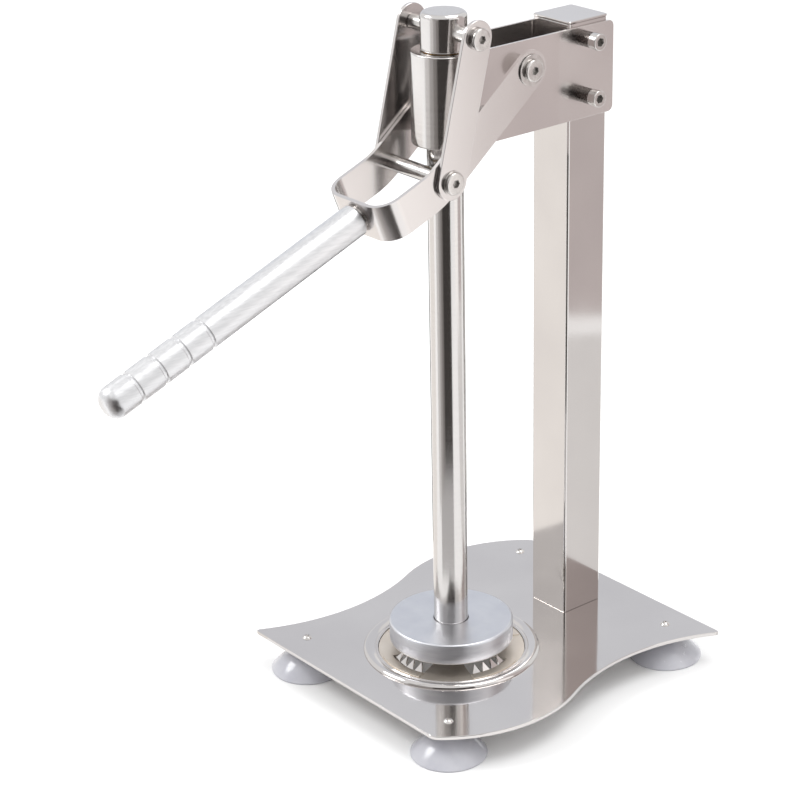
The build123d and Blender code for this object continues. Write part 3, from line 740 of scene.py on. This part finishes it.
# %% Column and cap
tube_wall = Vector((0.002, 0.002))
tube_corner, bore_corner, lid_corner = 0.002, 0.001, 0.0022
rim_edge = 0.0008
column_low, column_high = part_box("column")
tube = rounded_box(column_low.xy, column_high.xy, tube_corner)
bore = rounded_box(column_low.xy + tube_wall, column_high.xy - tube_wall, bore_corner)
column_height = column_high.z - column_low.z
column_place = Matrix.Translation((0, 0, column_low.z + column_height / 2))
column = cut_sheet("column_tube", [tube, bore], column_height, sheet_finish, column_place, rim_edge)
settle(column, "frame", "polished_stainless", "column")

cap_low, cap_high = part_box("column_cap")
lid_thickness = cap_high.z - column_high.z
lid = rounded_box(cap_low.xy, cap_high.xy, lid_corner)
lid_place = Matrix.Translation((0, 0, cap_high.z - lid_thickness / 2))
cap = cut_sheet("column_cap_lid", [lid], lid_thickness, sheet_finish, lid_place, rim_edge)
settle(cap, "frame", "polished_stainless", "column_cap")


# %% Arms
arm_corner, arm_edge = 0.005, 0.0003
square_end = 0.006
fulcrum_hole_radius = 0.0061


def arm_plate(side):
    """A plate with two round corners behind and a square end towards the guide."""
    node = f"arm_plate_{side}"
    low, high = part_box(node)
    rounded = rounded_box((low.y, low.z), (high.y, high.z), arm_corner)
    outline = [(y, z) for y, z in rounded if y > low.y + square_end]
    outline += [(low.y, high.z), (low.y, low.z)]
    middle_z = (low.z + high.z) / 2
    outline.sort(key=lambda p: math.atan2(p[1] - middle_z, p[0] - (low.y + high.y) / 2))
    hole = round_hole((fulcrum.y, fulcrum.z), fulcrum_hole_radius)
    place = on_side((low.x + high.x) / 2)
    plate = cut_sheet(f"{node}_cut", [outline, hole], high.x - low.x, satin_finish, place, arm_edge)
    settle(plate, "frame", "polished_stainless", node)


for side in ("left", "right"):
    arm_plate(side)

# %% [markdown]
# ## The ram, its guide and the presser
# These are lathe work, so each is one profile. The guide is a thick sleeve, eased top and bottom, with
# a bronze bush at each end. The ram is a polished bar. Its head is a turned cap with a chamfered rim,
# and the presser is a heavy satin disc with a soft rim.

# %% Guide sleeve and ram
turned_round = 0.0012
ram_axis = upright(0, ram_y)
sleeve_low, sleeve_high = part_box("guide_sleeve")
sleeve_radius = radius_of("guide_sleeve")
bush_radius = radius_of("guide_bush_upper")
seam_z = sleeve_high.z - 0.018
sleeve_profile = [
    (bush_radius, seam_z), (bush_radius, sleeve_high.z), (sleeve_radius, sleeve_high.z),
    (sleeve_radius, sleeve_low.z), (bush_radius, sleeve_low.z), (bush_radius, seam_z),
]
sleeve = turned("guide_sleeve_turned", soften(sleeve_profile, turned_round), turned_finish, ram_axis)
settle(sleeve, "frame", "turned_stainless", "guide_sleeve")

shaft_low, shaft_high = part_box("ram_shaft")
shaft_radius = radius_of("ram_shaft")
shaft_round = 0.0006
shaft_profile = [
    (0, shaft_low.z), (shaft_radius, shaft_low.z), (shaft_radius, shaft_high.z), (0, shaft_high.z),
]
shaft = turned("ram_shaft_bar", soften(shaft_profile, shaft_round), turned_finish, ram_axis)
settle(shaft, "ram", "turned_stainless", "ram_shaft")

# %% Ram head and presser
low_chamfer, top_chamfer = 0.0008, 0.0022
head_low, head_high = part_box("ram_head")
head_radius = (head_high.x - head_low.x) / 2
head_profile = [
    (shaft_radius, head_low.z), (head_radius - low_chamfer, head_low.z),
    (head_radius, head_low.z + low_chamfer), (head_radius, head_high.z - top_chamfer),
    (head_radius - top_chamfer, head_high.z), (0, head_high.z),
]
head = turned("ram_head_turned", soften(head_profile, turned_round), turned_finish, ram_axis)
settle(head, "ram", "turned_stainless", "ram_head")

presser_turns = 192
presser_round = 0.0022
below_bore, below_depth = 0.0071, 0.006
above_gap, above_depth, lead_in = 0.0002, 0.004, 0.0006
above_bore = shaft_radius + above_gap
presser_low, presser_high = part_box("presser_disc")
presser_radius = radius_of("presser_disc")
presser_profile = soften([
    (below_bore, presser_low.z + below_depth), (below_bore, presser_low.z), (presser_radius, presser_low.z),
    (presser_radius, presser_high.z), (above_bore + lead_in, presser_high.z),
    (above_bore, presser_high.z - lead_in), (above_bore, presser_high.z - above_depth),
], presser_round)
presser = turned("presser_disc_turned", presser_profile, presser_finish, ram_axis, presser_turns)
settle(presser, "ram", "satin_aluminium", "presser_disc")

# %% [markdown]
# ## Links and the bent fork
# Each link is a flat bar with round ends. The fork is one strap: it leaves the fulcrum, turns at an
# elbow, and closes in front in a rounded yoke. It is drawn as a ribbon that follows a path, then given
# its thickness, because a bent strap keeps the same width and thickness all the way.


# %% Links
def slot_outline(first, second, radius):
    first, second = Vector(first), Vector(second)
    lean = math.degrees(math.atan2(*(second - first).yx))
    far = arc_points(second, radius, lean - 90, lean + 90, 24)
    return far + arc_points(first, radius, lean + 90, lean + 270, 24)


link_radius = 0.0135
for side in ("left", "right"):
    low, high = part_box(f"link_{side}")
    outline = slot_outline(knee.yz, crosshead.yz, link_radius)
    place = on_side((low.x + high.x) / 2)
    link = cut_sheet(f"link_{side}_bar", [outline], high.x - low.x, satin_finish, place)
    settle(link, "links", "polished_stainless", f"link_{side}")

# %% Fork
strap_width = 0.030
strap_thickness = 0.003
strap_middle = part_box("lever_fork")[1].x - strap_thickness / 2
yoke_reach = 0.0635
elbow_reach = 0.010
yoke_bend = 0.018 - strap_thickness / 2
upper_slope = math.radians(38.6)
forward = Vector((0, -math.cos(handle_tilt), -math.sin(handle_tilt)))
lift = Vector((0, -math.sin(handle_tilt), math.cos(handle_tilt)))


def elbow_point():
    """Where the line down from the fulcrum meets the handle's line through the knee."""
    down = Vector((0, -math.cos(upper_slope), -math.sin(upper_slope)))
    gap = knee - fulcrum
    turn = forward.y * down.z - forward.z * down.y
    along = (gap.z * forward.y - gap.y * forward.z) / turn
    return fulcrum + down * along, down


def strap_path():
    """Stations along one half of the strap: centre, direction across it, half width."""
    corner, down = elbow_point()
    up_down = Vector((0, down.z, -down.y))
    up_down = up_down if up_down.z > 0 else -up_down
    half = strap_width / 2
    length = (corner - fulcrum).length
    stations = []
    side = Vector((strap_middle, 0, 0))
    for step in range(17):
        angle = math.pi / 2 * step / 16
        reach = fulcrum - down * half * math.cos(angle)
        half_here = max(half * math.sin(angle), 0.0004)
        stations.append((side + Vector((0, reach.y, reach.z)), up_down, half_here))
    stations.append((side + fulcrum + down * (length - elbow_reach), up_down, half))
    start, end = fulcrum + down * (length - elbow_reach), corner + forward * elbow_reach
    for step in range(1, 8):
        t = step / 8
        stations.append((side + bend(start, corner, end, t), up_down.lerp(lift, t).normalized(), half))
    stations.append((side + corner + forward * elbow_reach, lift, half))
    straight = yoke_reach - strap_thickness / 2 - yoke_bend
    stations.append((side + knee + forward * straight, lift, half))
    for step in range(1, 17):
        angle = math.pi / 2 * step / 16
        x = strap_middle - yoke_bend + yoke_bend * math.cos(angle)
        reach = straight + yoke_bend * math.sin(angle)
        stations.append((Vector((x, knee.y, knee.z)) + forward * reach, lift, half))
    return stations


def ribbon_mesh(stations):
    work = bmesh.new()
    rows = []
    for centre, up, half in stations:
        rows.append([work.verts.new(centre + up * half * f) for f in (-1, -0.9, 0, 0.9, 1)])
    for row, after in zip(rows, rows[1:]):
        for i in range(4):
            work.faces.new((row[i], row[i + 1], after[i + 1], after[i]))
    return mesh_from(work, "ribbon")


half_path = strap_path()
mirrored = [(Vector((-c.x, c.y, c.z)), up, half) for c, up, half in reversed(half_path)]
ribbon = ribbon_mesh(half_path + mirrored)
fork = finish_mesh("lever_fork_strap", ribbon, satin_finish, 30.0)
thick = fork.modifiers.new("thickness", "SOLIDIFY")
thick.thickness = strap_thickness
thick.offset = 0
eased = fork.modifiers.new("eased edges", "BEVEL")
eased.width = 0.0005
eased.segments = 2
eased.angle_limit = math.radians(50)
fork.modifiers.move(0, 2)
settle(fork, "lever", "polished_stainless", "lever_fork")

# %% [markdown]
# ## The handle
# A turned aluminium bar, satin all over, with a bull-nosed tip and four shallow grooves for grip. It is
# spun upright and then leaned into the fork's slope, so that its profile stays easy to read.

# %% Handle
handle_radius = 0.0125
root_chamfer = 0.001
nose = 0.0095
handle_start = yoke_reach + 0.0016
handle_length = 0.2414
groove_first, groove_pitch, groove_count = 0.026, 0.022, 4
groove_half, groove_depth = 0.0017, 0.0011


def handle_profile():
    points = [(0, 0), (handle_radius - root_chamfer, 0), (handle_radius, root_chamfer)]
    for index in reversed(range(groove_count)):
        z = handle_length - groove_first - index * groove_pitch
        points += [(handle_radius, z - groove_half), (handle_radius - groove_depth, z - groove_half * 0.5)]
        points += [(handle_radius - groove_depth, z + groove_half * 0.5), (handle_radius, z + groove_half)]
    for step in range(13):
        out, along, _ = at_angle(nose, math.pi / 2 * step / 12)
        points.append((handle_radius - nose + out, handle_length - nose + along))
    return points + [(0, handle_length)]


tilt = forward.to_track_quat("Z", "X").to_matrix().to_4x4()
handle_place = Matrix.Translation(knee + forward * handle_start - Vector((knee.x, 0, 0))) @ tilt
handle = turned("handle_bar", handle_profile(), handle_finish, handle_place)
settle(handle, "lever", "satin_aluminium", "handle")

# %% [markdown]
# ## Screws
# All the pivots are held by low socket screws with a flange-wide head. One whole screw is made, with
# its shank and a sunk hexagon, and the tree sets a copy at each end of each pin with its own roll, as a
# fitter leaves them. The hexagon's faces are marked, so that the tree can line them with a darker finish, which is
# painted shade inside the socket.


# %% One screw
def socket_screw(radius, height, flats, depth, round_by, shank):
    """A screw whose head stands on z = 0 with a sunk hexagon; shank is (radius, length) steps below."""
    corner = flats / math.sqrt(3)
    sides = 48
    angles = [2 * math.pi * i / sides for i in range(sides)]
    below = [(0.0, -sum(length for _, length in shank))]
    level = below[0][1]
    for r, length in reversed(shank):
        below += [(r, level), (r, level + length)]
        level += length
    head = [below[-1], (radius, 0), (radius, height), (corner * 1.3, height)]
    profile = below + soften(head, round_by)[1:]
    work = bmesh.new()
    recess = work.faces.layers.bool.new("recess")
    rings = [[work.verts.new(at_angle(r, a, z)) for a in angles] for r, z in profile[1:]]
    recess_from = len(rings)
    for z, shrink in ((height, 1.08), (height - 0.0002, 1.0), (height - depth, 1.0)):
        ring = []
        for angle in angles:
            in_side = (angle % (math.pi / 3)) - math.pi / 6
            r = corner * shrink * math.cos(math.pi / 6) / math.cos(in_side)
            ring.append(work.verts.new(at_angle(r, angle, z)))
        rings.append(ring)
    dark = []
    for index, (ring, after) in enumerate(zip(rings, rings[1:])):
        for i in range(sides):
            j = (i + 1) % sides
            face = work.faces.new((ring[i], ring[j], after[j], after[i]))
            if index >= recess_from:
                dark.append(face)
    work.faces.new(rings[0][::-1])
    # The socket's walls and floor take the painted shade.
    dark.append(work.faces.new(rings[-1]))
    for face in dark:
        face[recess] = True
    bmesh.ops.recalc_face_normals(work, faces=work.faces)
    return mesh_from(work, "screw")


# %% Washers and places
def washer_mesh(radius, inner, thickness):
    profile = [(inner, 0), (radius, 0), (radius, thickness), (inner, thickness), (inner, 0)]
    return turn_mesh(soften(profile, 0.00025, 3), turns=64)


def pin_ends(node, point, rolls):
    """Both ends of a cross pin: where the screws bear, facing outwards."""
    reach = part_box(node)[1].x
    return reach, [
        (Vector((reach, point.y, point.z)), (1, 0, 0), rolls[0]),
        (Vector((-reach, point.y, point.z)), (-1, 0, 0), rolls[1]),
    ]


def shifted(places, distance):
    return [(p + Vector(d) * distance, d, roll) for p, d, roll in places]


# %% Pivot screws
washer_thickness = 0.001
screw_bore = 0.0041
pivot_head_radius = 0.0085
pivot_flats, pivot_sunk, pivot_round = 0.0055, 0.0024, 0.0014
# A shank is a list of (radius, length) steps down from the head.
thread = [(0.004, 0.013)]
shoulder = [(screw_bore, 0.001), (0.006, 0.0032)]
# Each row: name, centre, washer radius, body, the rolls of its two screws, shank.
pivots = [
    ("fulcrum", fulcrum, 0.012, "frame", (10, 40), thread),
    ("knee", knee, 0.0093, "lever", (25, 5), thread),
    ("crosshead", crosshead, 0.008, "links", (15, 50), shoulder),
]
for name, point, washer_radius, body, rolls, shank in pivots:
    outside, ends = pin_ends(f"{name}_washers", point, rolls)
    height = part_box(f"{name}_bolts")[1].x - outside
    ring_shape = washer_mesh(washer_radius, screw_bore, washer_thickness)
    rings = repeated(f"{name}_washer_pair", ring_shape, shifted(ends, -washer_thickness), fastener_finish)
    settle(rings, body, "fastener_stainless", f"{name}_washers")
    screw_shape = socket_screw(pivot_head_radius, height, pivot_flats, pivot_sunk, pivot_round, shank)
    screws = repeated(f"{name}_screws", screw_shape, ends, fastener_finish)
    settle(screws, body, "fastener_stainless", f"{name}_bolts")

# %% [markdown]
# ## Clamp screws
# Two long screws pinch the arms onto the column. Their taller heads stand off the right arm on dark
# grooved barrels. A barrel is one turned profile, so its grooves are worked out by a loop.

# %% Clamp screws
clamp_low, clamp_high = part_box("clamp_bolts")
spacer_low, spacer_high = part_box("clamp_spacers")
clamp_head_radius = 0.0065
clamp_flats, clamp_sunk, clamp_round = 0.006, 0.004, 0.0012
clamp_rolls = (12, 34)
clamp_y = (clamp_low.y + clamp_high.y) / 2
clamp_heights = (clamp_high.z - clamp_head_radius, clamp_low.z + clamp_head_radius)
clamp_places = []
for z, roll in zip(clamp_heights, clamp_rolls):
    clamp_places.append((Vector((spacer_high.x, clamp_y, z)), (1, 0, 0), roll))
clamp_shank = [(0.004, spacer_high.x - clamp_low.x)]
clamp_head = clamp_high.x - spacer_high.x
clamp_shape = socket_screw(clamp_head_radius, clamp_head, clamp_flats, clamp_sunk, clamp_round, clamp_shank)
clamp_screws = repeated("clamp_screws", clamp_shape, clamp_places, fastener_finish)
settle(clamp_screws, "frame", "fastener_stainless", "clamp_bolts")

# %% Grooved barrels
spacer_radius = 0.006
groove_floor, groove_side = 0.0056, 0.0003
spacer_length = spacer_high.x - spacer_low.x
spacer_profile = [(screw_bore, 0), (spacer_radius, 0)]
for groove in range(1, 6):
    level = spacer_length * groove / 6
    spacer_profile += [(spacer_radius, level - groove_side), (groove_floor, level)]
    spacer_profile += [(spacer_radius, level + groove_side)]
spacer_profile += [(spacer_radius, spacer_length), (screw_bore, spacer_length), (screw_bore, 0)]
spacer_shape = turn_mesh(spacer_profile, turns=48)
spacer_places = shifted(clamp_places, spacer_low.x - spacer_high.x)
spacers = repeated("clamp_spacer_pair", spacer_shape, spacer_places, dark_finish)
settle(spacers, "frame", "fastener_stainless", "clamp_spacers")

# %% [markdown]
# ## Suction feet
# The feet are soft vinyl cups, slightly cloudy, with a thin rim, a full dome and a neck under the
# plate. Each is spun from one profile and holds its screw, whose domed head shows on the plate.


# %% Cups
def cup_profile(radius, top):
    edge = 0.0014
    neck, neck_chamfer = 0.0095, 0.0006
    dome = 0.017
    swell = 0.64
    rim = radius - 0.0025
    points = [(0, 0.004), (0.6 * rim, 0.0025), (rim, 0), (radius - 0.0004, 0), (radius, 0.0005)]
    points.append((radius, edge))
    middle = Vector(((radius + neck) / 2, edge + swell * (dome - edge)))
    start, end = Vector((radius, edge)), Vector((neck, dome))
    control = 2 * middle - (start + end) / 2
    for step in range(1, 25):
        points.append(tuple(bend(start, control, end, step / 24)))
    return points + [(neck, top - neck_chamfer), (neck - neck_chamfer, top), (0, top)]


for place, name in zip(foot_places, foot_names):
    node = f"suction_cup_{name}"
    cup_low, cup_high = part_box(node)
    profile = cup_profile((cup_high.x - cup_low.x) / 2, cup_high.z)
    cup = turned(f"{node}_soft", profile, vinyl_finish, upright(place.x, place.y))
    settle(cup, "frame", "clear_vinyl", node)

# %% [markdown]
# ## Pieces that need only a finish
# Pins, nuts, spacers and the parts that hide inside already have their true shape, so they keep it and
# are given the same finishes as their neighbours.

# %% Finish the rest
plain_finishes = {
    "fastener_stainless": fastener_finish,
    "polished_stainless": sheet_finish,
    "turned_stainless": turned_finish,
    "bronze": bronze_finish,
    "clear_vinyl": vinyl_finish,
    "satin_aluminium": presser_finish,
}
slot_of = {row["node"]: row["material_slot"] for row in frame["record"]["subparts"]}
for name, node in frame["nodes"].items():
    if not node.hide_render:
        for material_slot in node.material_slots:
            material_slot.material = plain_finishes[slot_of[name]]

# %% [markdown]
# ## Studio
# Polished steel shows what stands round it, so the studio matters as much as the metal. Grey, dark and
# cream cards give it the broad bands and streaks that make a curved surface read as round. Some stand
# round the press. Seen from above, an upright face mirrors the bench, so others lie on it, cut as
# sectors. The last stands in the gap between the right arm and the fork, and hides a dark reflection.


# %% A glowing finish
def flat_material(name, colour, strength):
    material = bpy.data.materials.new(name)
    material.use_nodes = True
    nodes = material.node_tree.nodes
    nodes.clear()
    glow = nodes.new("ShaderNodeEmission")
    glow.inputs["Color"].default_value = (*colour, 1)
    glow.inputs["Strength"].default_value = strength
    output = nodes.new("ShaderNodeOutputMaterial")
    material.node_tree.links.new(glow.outputs[0], output.inputs[0])
    return material


# %% Cards
def only_reflected(name, corners, faces, colour):
    """A glowing sheet that neither the camera nor soft light sees."""
    mesh = bpy.data.meshes.new(name)
    mesh.from_pydata([tuple(corner) for corner in corners], [], faces)
    mesh.materials.append(flat_material(name, colour, 1.0))
    piece = in_scene(name, mesh)
    piece.visible_camera = False
    piece.visible_shadow = False
    piece.visible_diffuse = False


def card(name, bearing, spread, distance, bottom, top, colour):
    """An upright card round the press, seen only in reflections. Bearing 0 is +X, 90 is +Y."""
    angle = math.radians(bearing)
    centre = Vector((distance * math.cos(angle), ram_y + distance * math.sin(angle), 0))
    aside = Vector((-math.sin(angle), math.cos(angle), 0)) * distance * math.tan(math.radians(spread / 2))
    up = Vector((0, 0, 1))
    corners = [centre - aside + up * bottom, centre + aside + up * bottom, centre + aside + up * top,
               centre - aside + up * top]
    only_reflected(name, corners, [(0, 1, 2, 3)], colour)


def floor_card(name, centre_y, start, end, near, far, level, colour):
    """A flat card on the bench, cut as a sector round (0, centre_y), seen only in reflections."""
    centre = Vector((0, centre_y, level))
    sweep = [math.radians(start + (end - start) * i / 16) for i in range(17)]
    inner = [centre + Vector((math.cos(a), math.sin(a), 0)) * near for a in sweep]
    outer = [centre + Vector((math.cos(a), math.sin(a), 0)) * far for a in sweep]
    faces = [(i, 17 + i, 18 + i, i + 1) for i in range(16)]
    only_reflected(name, inner + outer, faces, colour)


# %% Standing cards
# The pinkish tone that the arms reflect, glowing from cards.
arm_reflection_tone = (0.69, 0.62, 0.61)
# Each row: name, bearing, spread, distance, bottom, top, colour.
cards = [
    ("card_right_near", 27.5, 23, 0.85, 0.0, 1.50, (1.38, 1.35, 1.33)),
    ("card_right", 53, 28, 0.85, 0.0, 1.50, arm_reflection_tone),
    ("card_front_dark", -38, 52, 3.90, 0.0, 2.60, (0.08, 0.07, 0.068)),
    ("card_front_grey", -80, 32, 3.90, 0.0, 2.60, (0.45, 0.43, 0.42)),
    ("card_pale_rear", 140, 60, 1.70, 0.35, 2.20, (0.84, 0.86, 0.91)),
]
for row in cards:
    card(*row)
print("standing cards", len(cards))

# %% Cards on the bench
column_y = middle_of("column").y
# Each row: name, centre in Y, first and last bearing, near and far radius, height, colour.
floor_cards = [
    ("floor_card_dark", ram_y, -64, -13, 0.42, 3.9, 0.0009, (0.065, 0.058, 0.055)),
    ("floor_card_dusk", ram_y, -77, -64, 0.40, 3.9, 0.0009, (0.29, 0.27, 0.26)),
    ("floor_card_grey", ram_y, -91, -77, 0.38, 3.9, 0.0009, (0.50, 0.48, 0.47)),
    ("floor_card_pale", ram_y, -108, -91, 0.34, 3.9, 0.0009, (0.84, 0.82, 0.81)),
    ("floor_card_near", ram_y, -95, -13, 0.20, 0.42, 0.0006, (0.66, 0.65, 0.65)),
    ("floor_card_behind", ram_y, 112, 172, 0.25, 3.9, 0.0006, (0.10, 0.095, 0.09)),
    ("floor_card_cream", column_y, 198, 240, 0.14, 1.7, 0.0012, (1.17, 1.13, 1.09)),
    ("floor_card_right", column_y, 18, 62, 0.12, 0.70, 0.0012, (0.95, 0.93, 0.92)),
]
for row in floor_cards:
    floor_card(*row)
print("cards on the bench", len(floor_cards))

# %% The card in the gap
# It glows in the arms' reflected tone, a painted reflection in place of the fork's dark one.
gap_x = strap_middle - strap_thickness / 2 - 0.0003
gap_outline = ((0.072, 0.42), (0.165, 0.42), (0.165, 0.545), (0.072, 0.545))
gap_corners = [Vector((gap_x, y, z)) for y, z in gap_outline]
only_reflected("card_in_gap", gap_corners, [(0, 1, 2, 3)], arm_reflection_tone)

# %% Pale floor
floor_half = 6.0
floor_corners = [(x * floor_half, y * floor_half, 0) for x, y in ((-1, -1), (1, -1), (1, 1), (-1, 1))]
floor_mesh = bpy.data.meshes.new("floor")
floor_mesh.from_pydata(floor_corners, [], [(0, 1, 2, 3)])
floor = in_scene("floor", floor_mesh)
floor.location.z = -0.0002
floor_recipe = Recipe("pale_floor")
floor_recipe.set(base_color=(0.93, 0.93, 0.93, 1), roughness=1.0)
floor_recipe.shader.inputs["Specular IOR Level"].default_value = 0.0
floor_mesh.materials.append(floor_recipe.material)

# %% [markdown]
# ## Lamps and surround
# A white surround keeps the steel bright. A lamp at the front left, and a wider and dimmer one above,
# give the satin pieces their shading and put soft shadows on the floor.

# %% Lamps and surround
world = bpy.data.worlds.new("surround")
bpy.context.scene.world = world
world.use_nodes = True
world.node_tree.nodes["Background"].inputs["Color"].default_value = (1.0, 1.0, 1.0, 1)
world.node_tree.nodes["Background"].inputs["Strength"].default_value = 1.0


def lamp(name, place, aim, size, power):
    light = bpy.data.lights.new(name, "AREA")
    light.shape = "DISK"
    light.size = size
    light.energy = power
    piece = in_scene(name, light)
    piece.location = place
    piece.rotation_euler = (Vector(aim) - Vector(place)).to_track_quat("-Z", "Y").to_euler()


lamp("key", (-1.6, -1.3, 2.2), (0, 0, 0.2), 1.2, 30.0)
lamp("top", (0.6, 0.8, 2.6), (0, 0, 0.1), 1.6, 22.0)

# %% [markdown]
# ## Camera
# A long lens from a little above and to the right keeps the upright pieces nearly parallel. Its axes
# are worked out from a bearing, a rise and a roll, and written straight into its matrix.

# %% Camera
camera_bearing = math.radians(50.93)
camera_rise = math.radians(23.09)
camera_roll = math.radians(-1.23)
camera_distance = 1.884
lens = 108.9
sensor = 36.0
aim_right, aim_height = -0.03757, 0.21824
level = math.cos(camera_rise)
back = Vector((math.sin(camera_bearing) * level, -math.cos(camera_bearing) * level, math.sin(camera_rise)))
right = Vector((math.cos(camera_bearing), math.sin(camera_bearing), 0))
above = back.cross(right)
rolled_right = right * math.cos(camera_roll) + above * math.sin(camera_roll)
rolled_up = above * math.cos(camera_roll) - right * math.sin(camera_roll)
camera_data = bpy.data.cameras.new("camera")
camera_data.lens = lens
camera_data.sensor_width = sensor
camera = in_scene("camera", camera_data)
aim = Vector((0, ram_y, plate_top + aim_height)) + right * aim_right
turn = Matrix((rolled_right, rolled_up, back)).transposed().to_4x4()
camera.matrix_world = Matrix.Translation(aim + back * camera_distance) @ turn
bpy.context.scene.camera = camera
bpy.context.scene.view_settings.view_transform = "Standard"
print("camera at", [round(c, 3) for c in camera.matrix_world.translation])
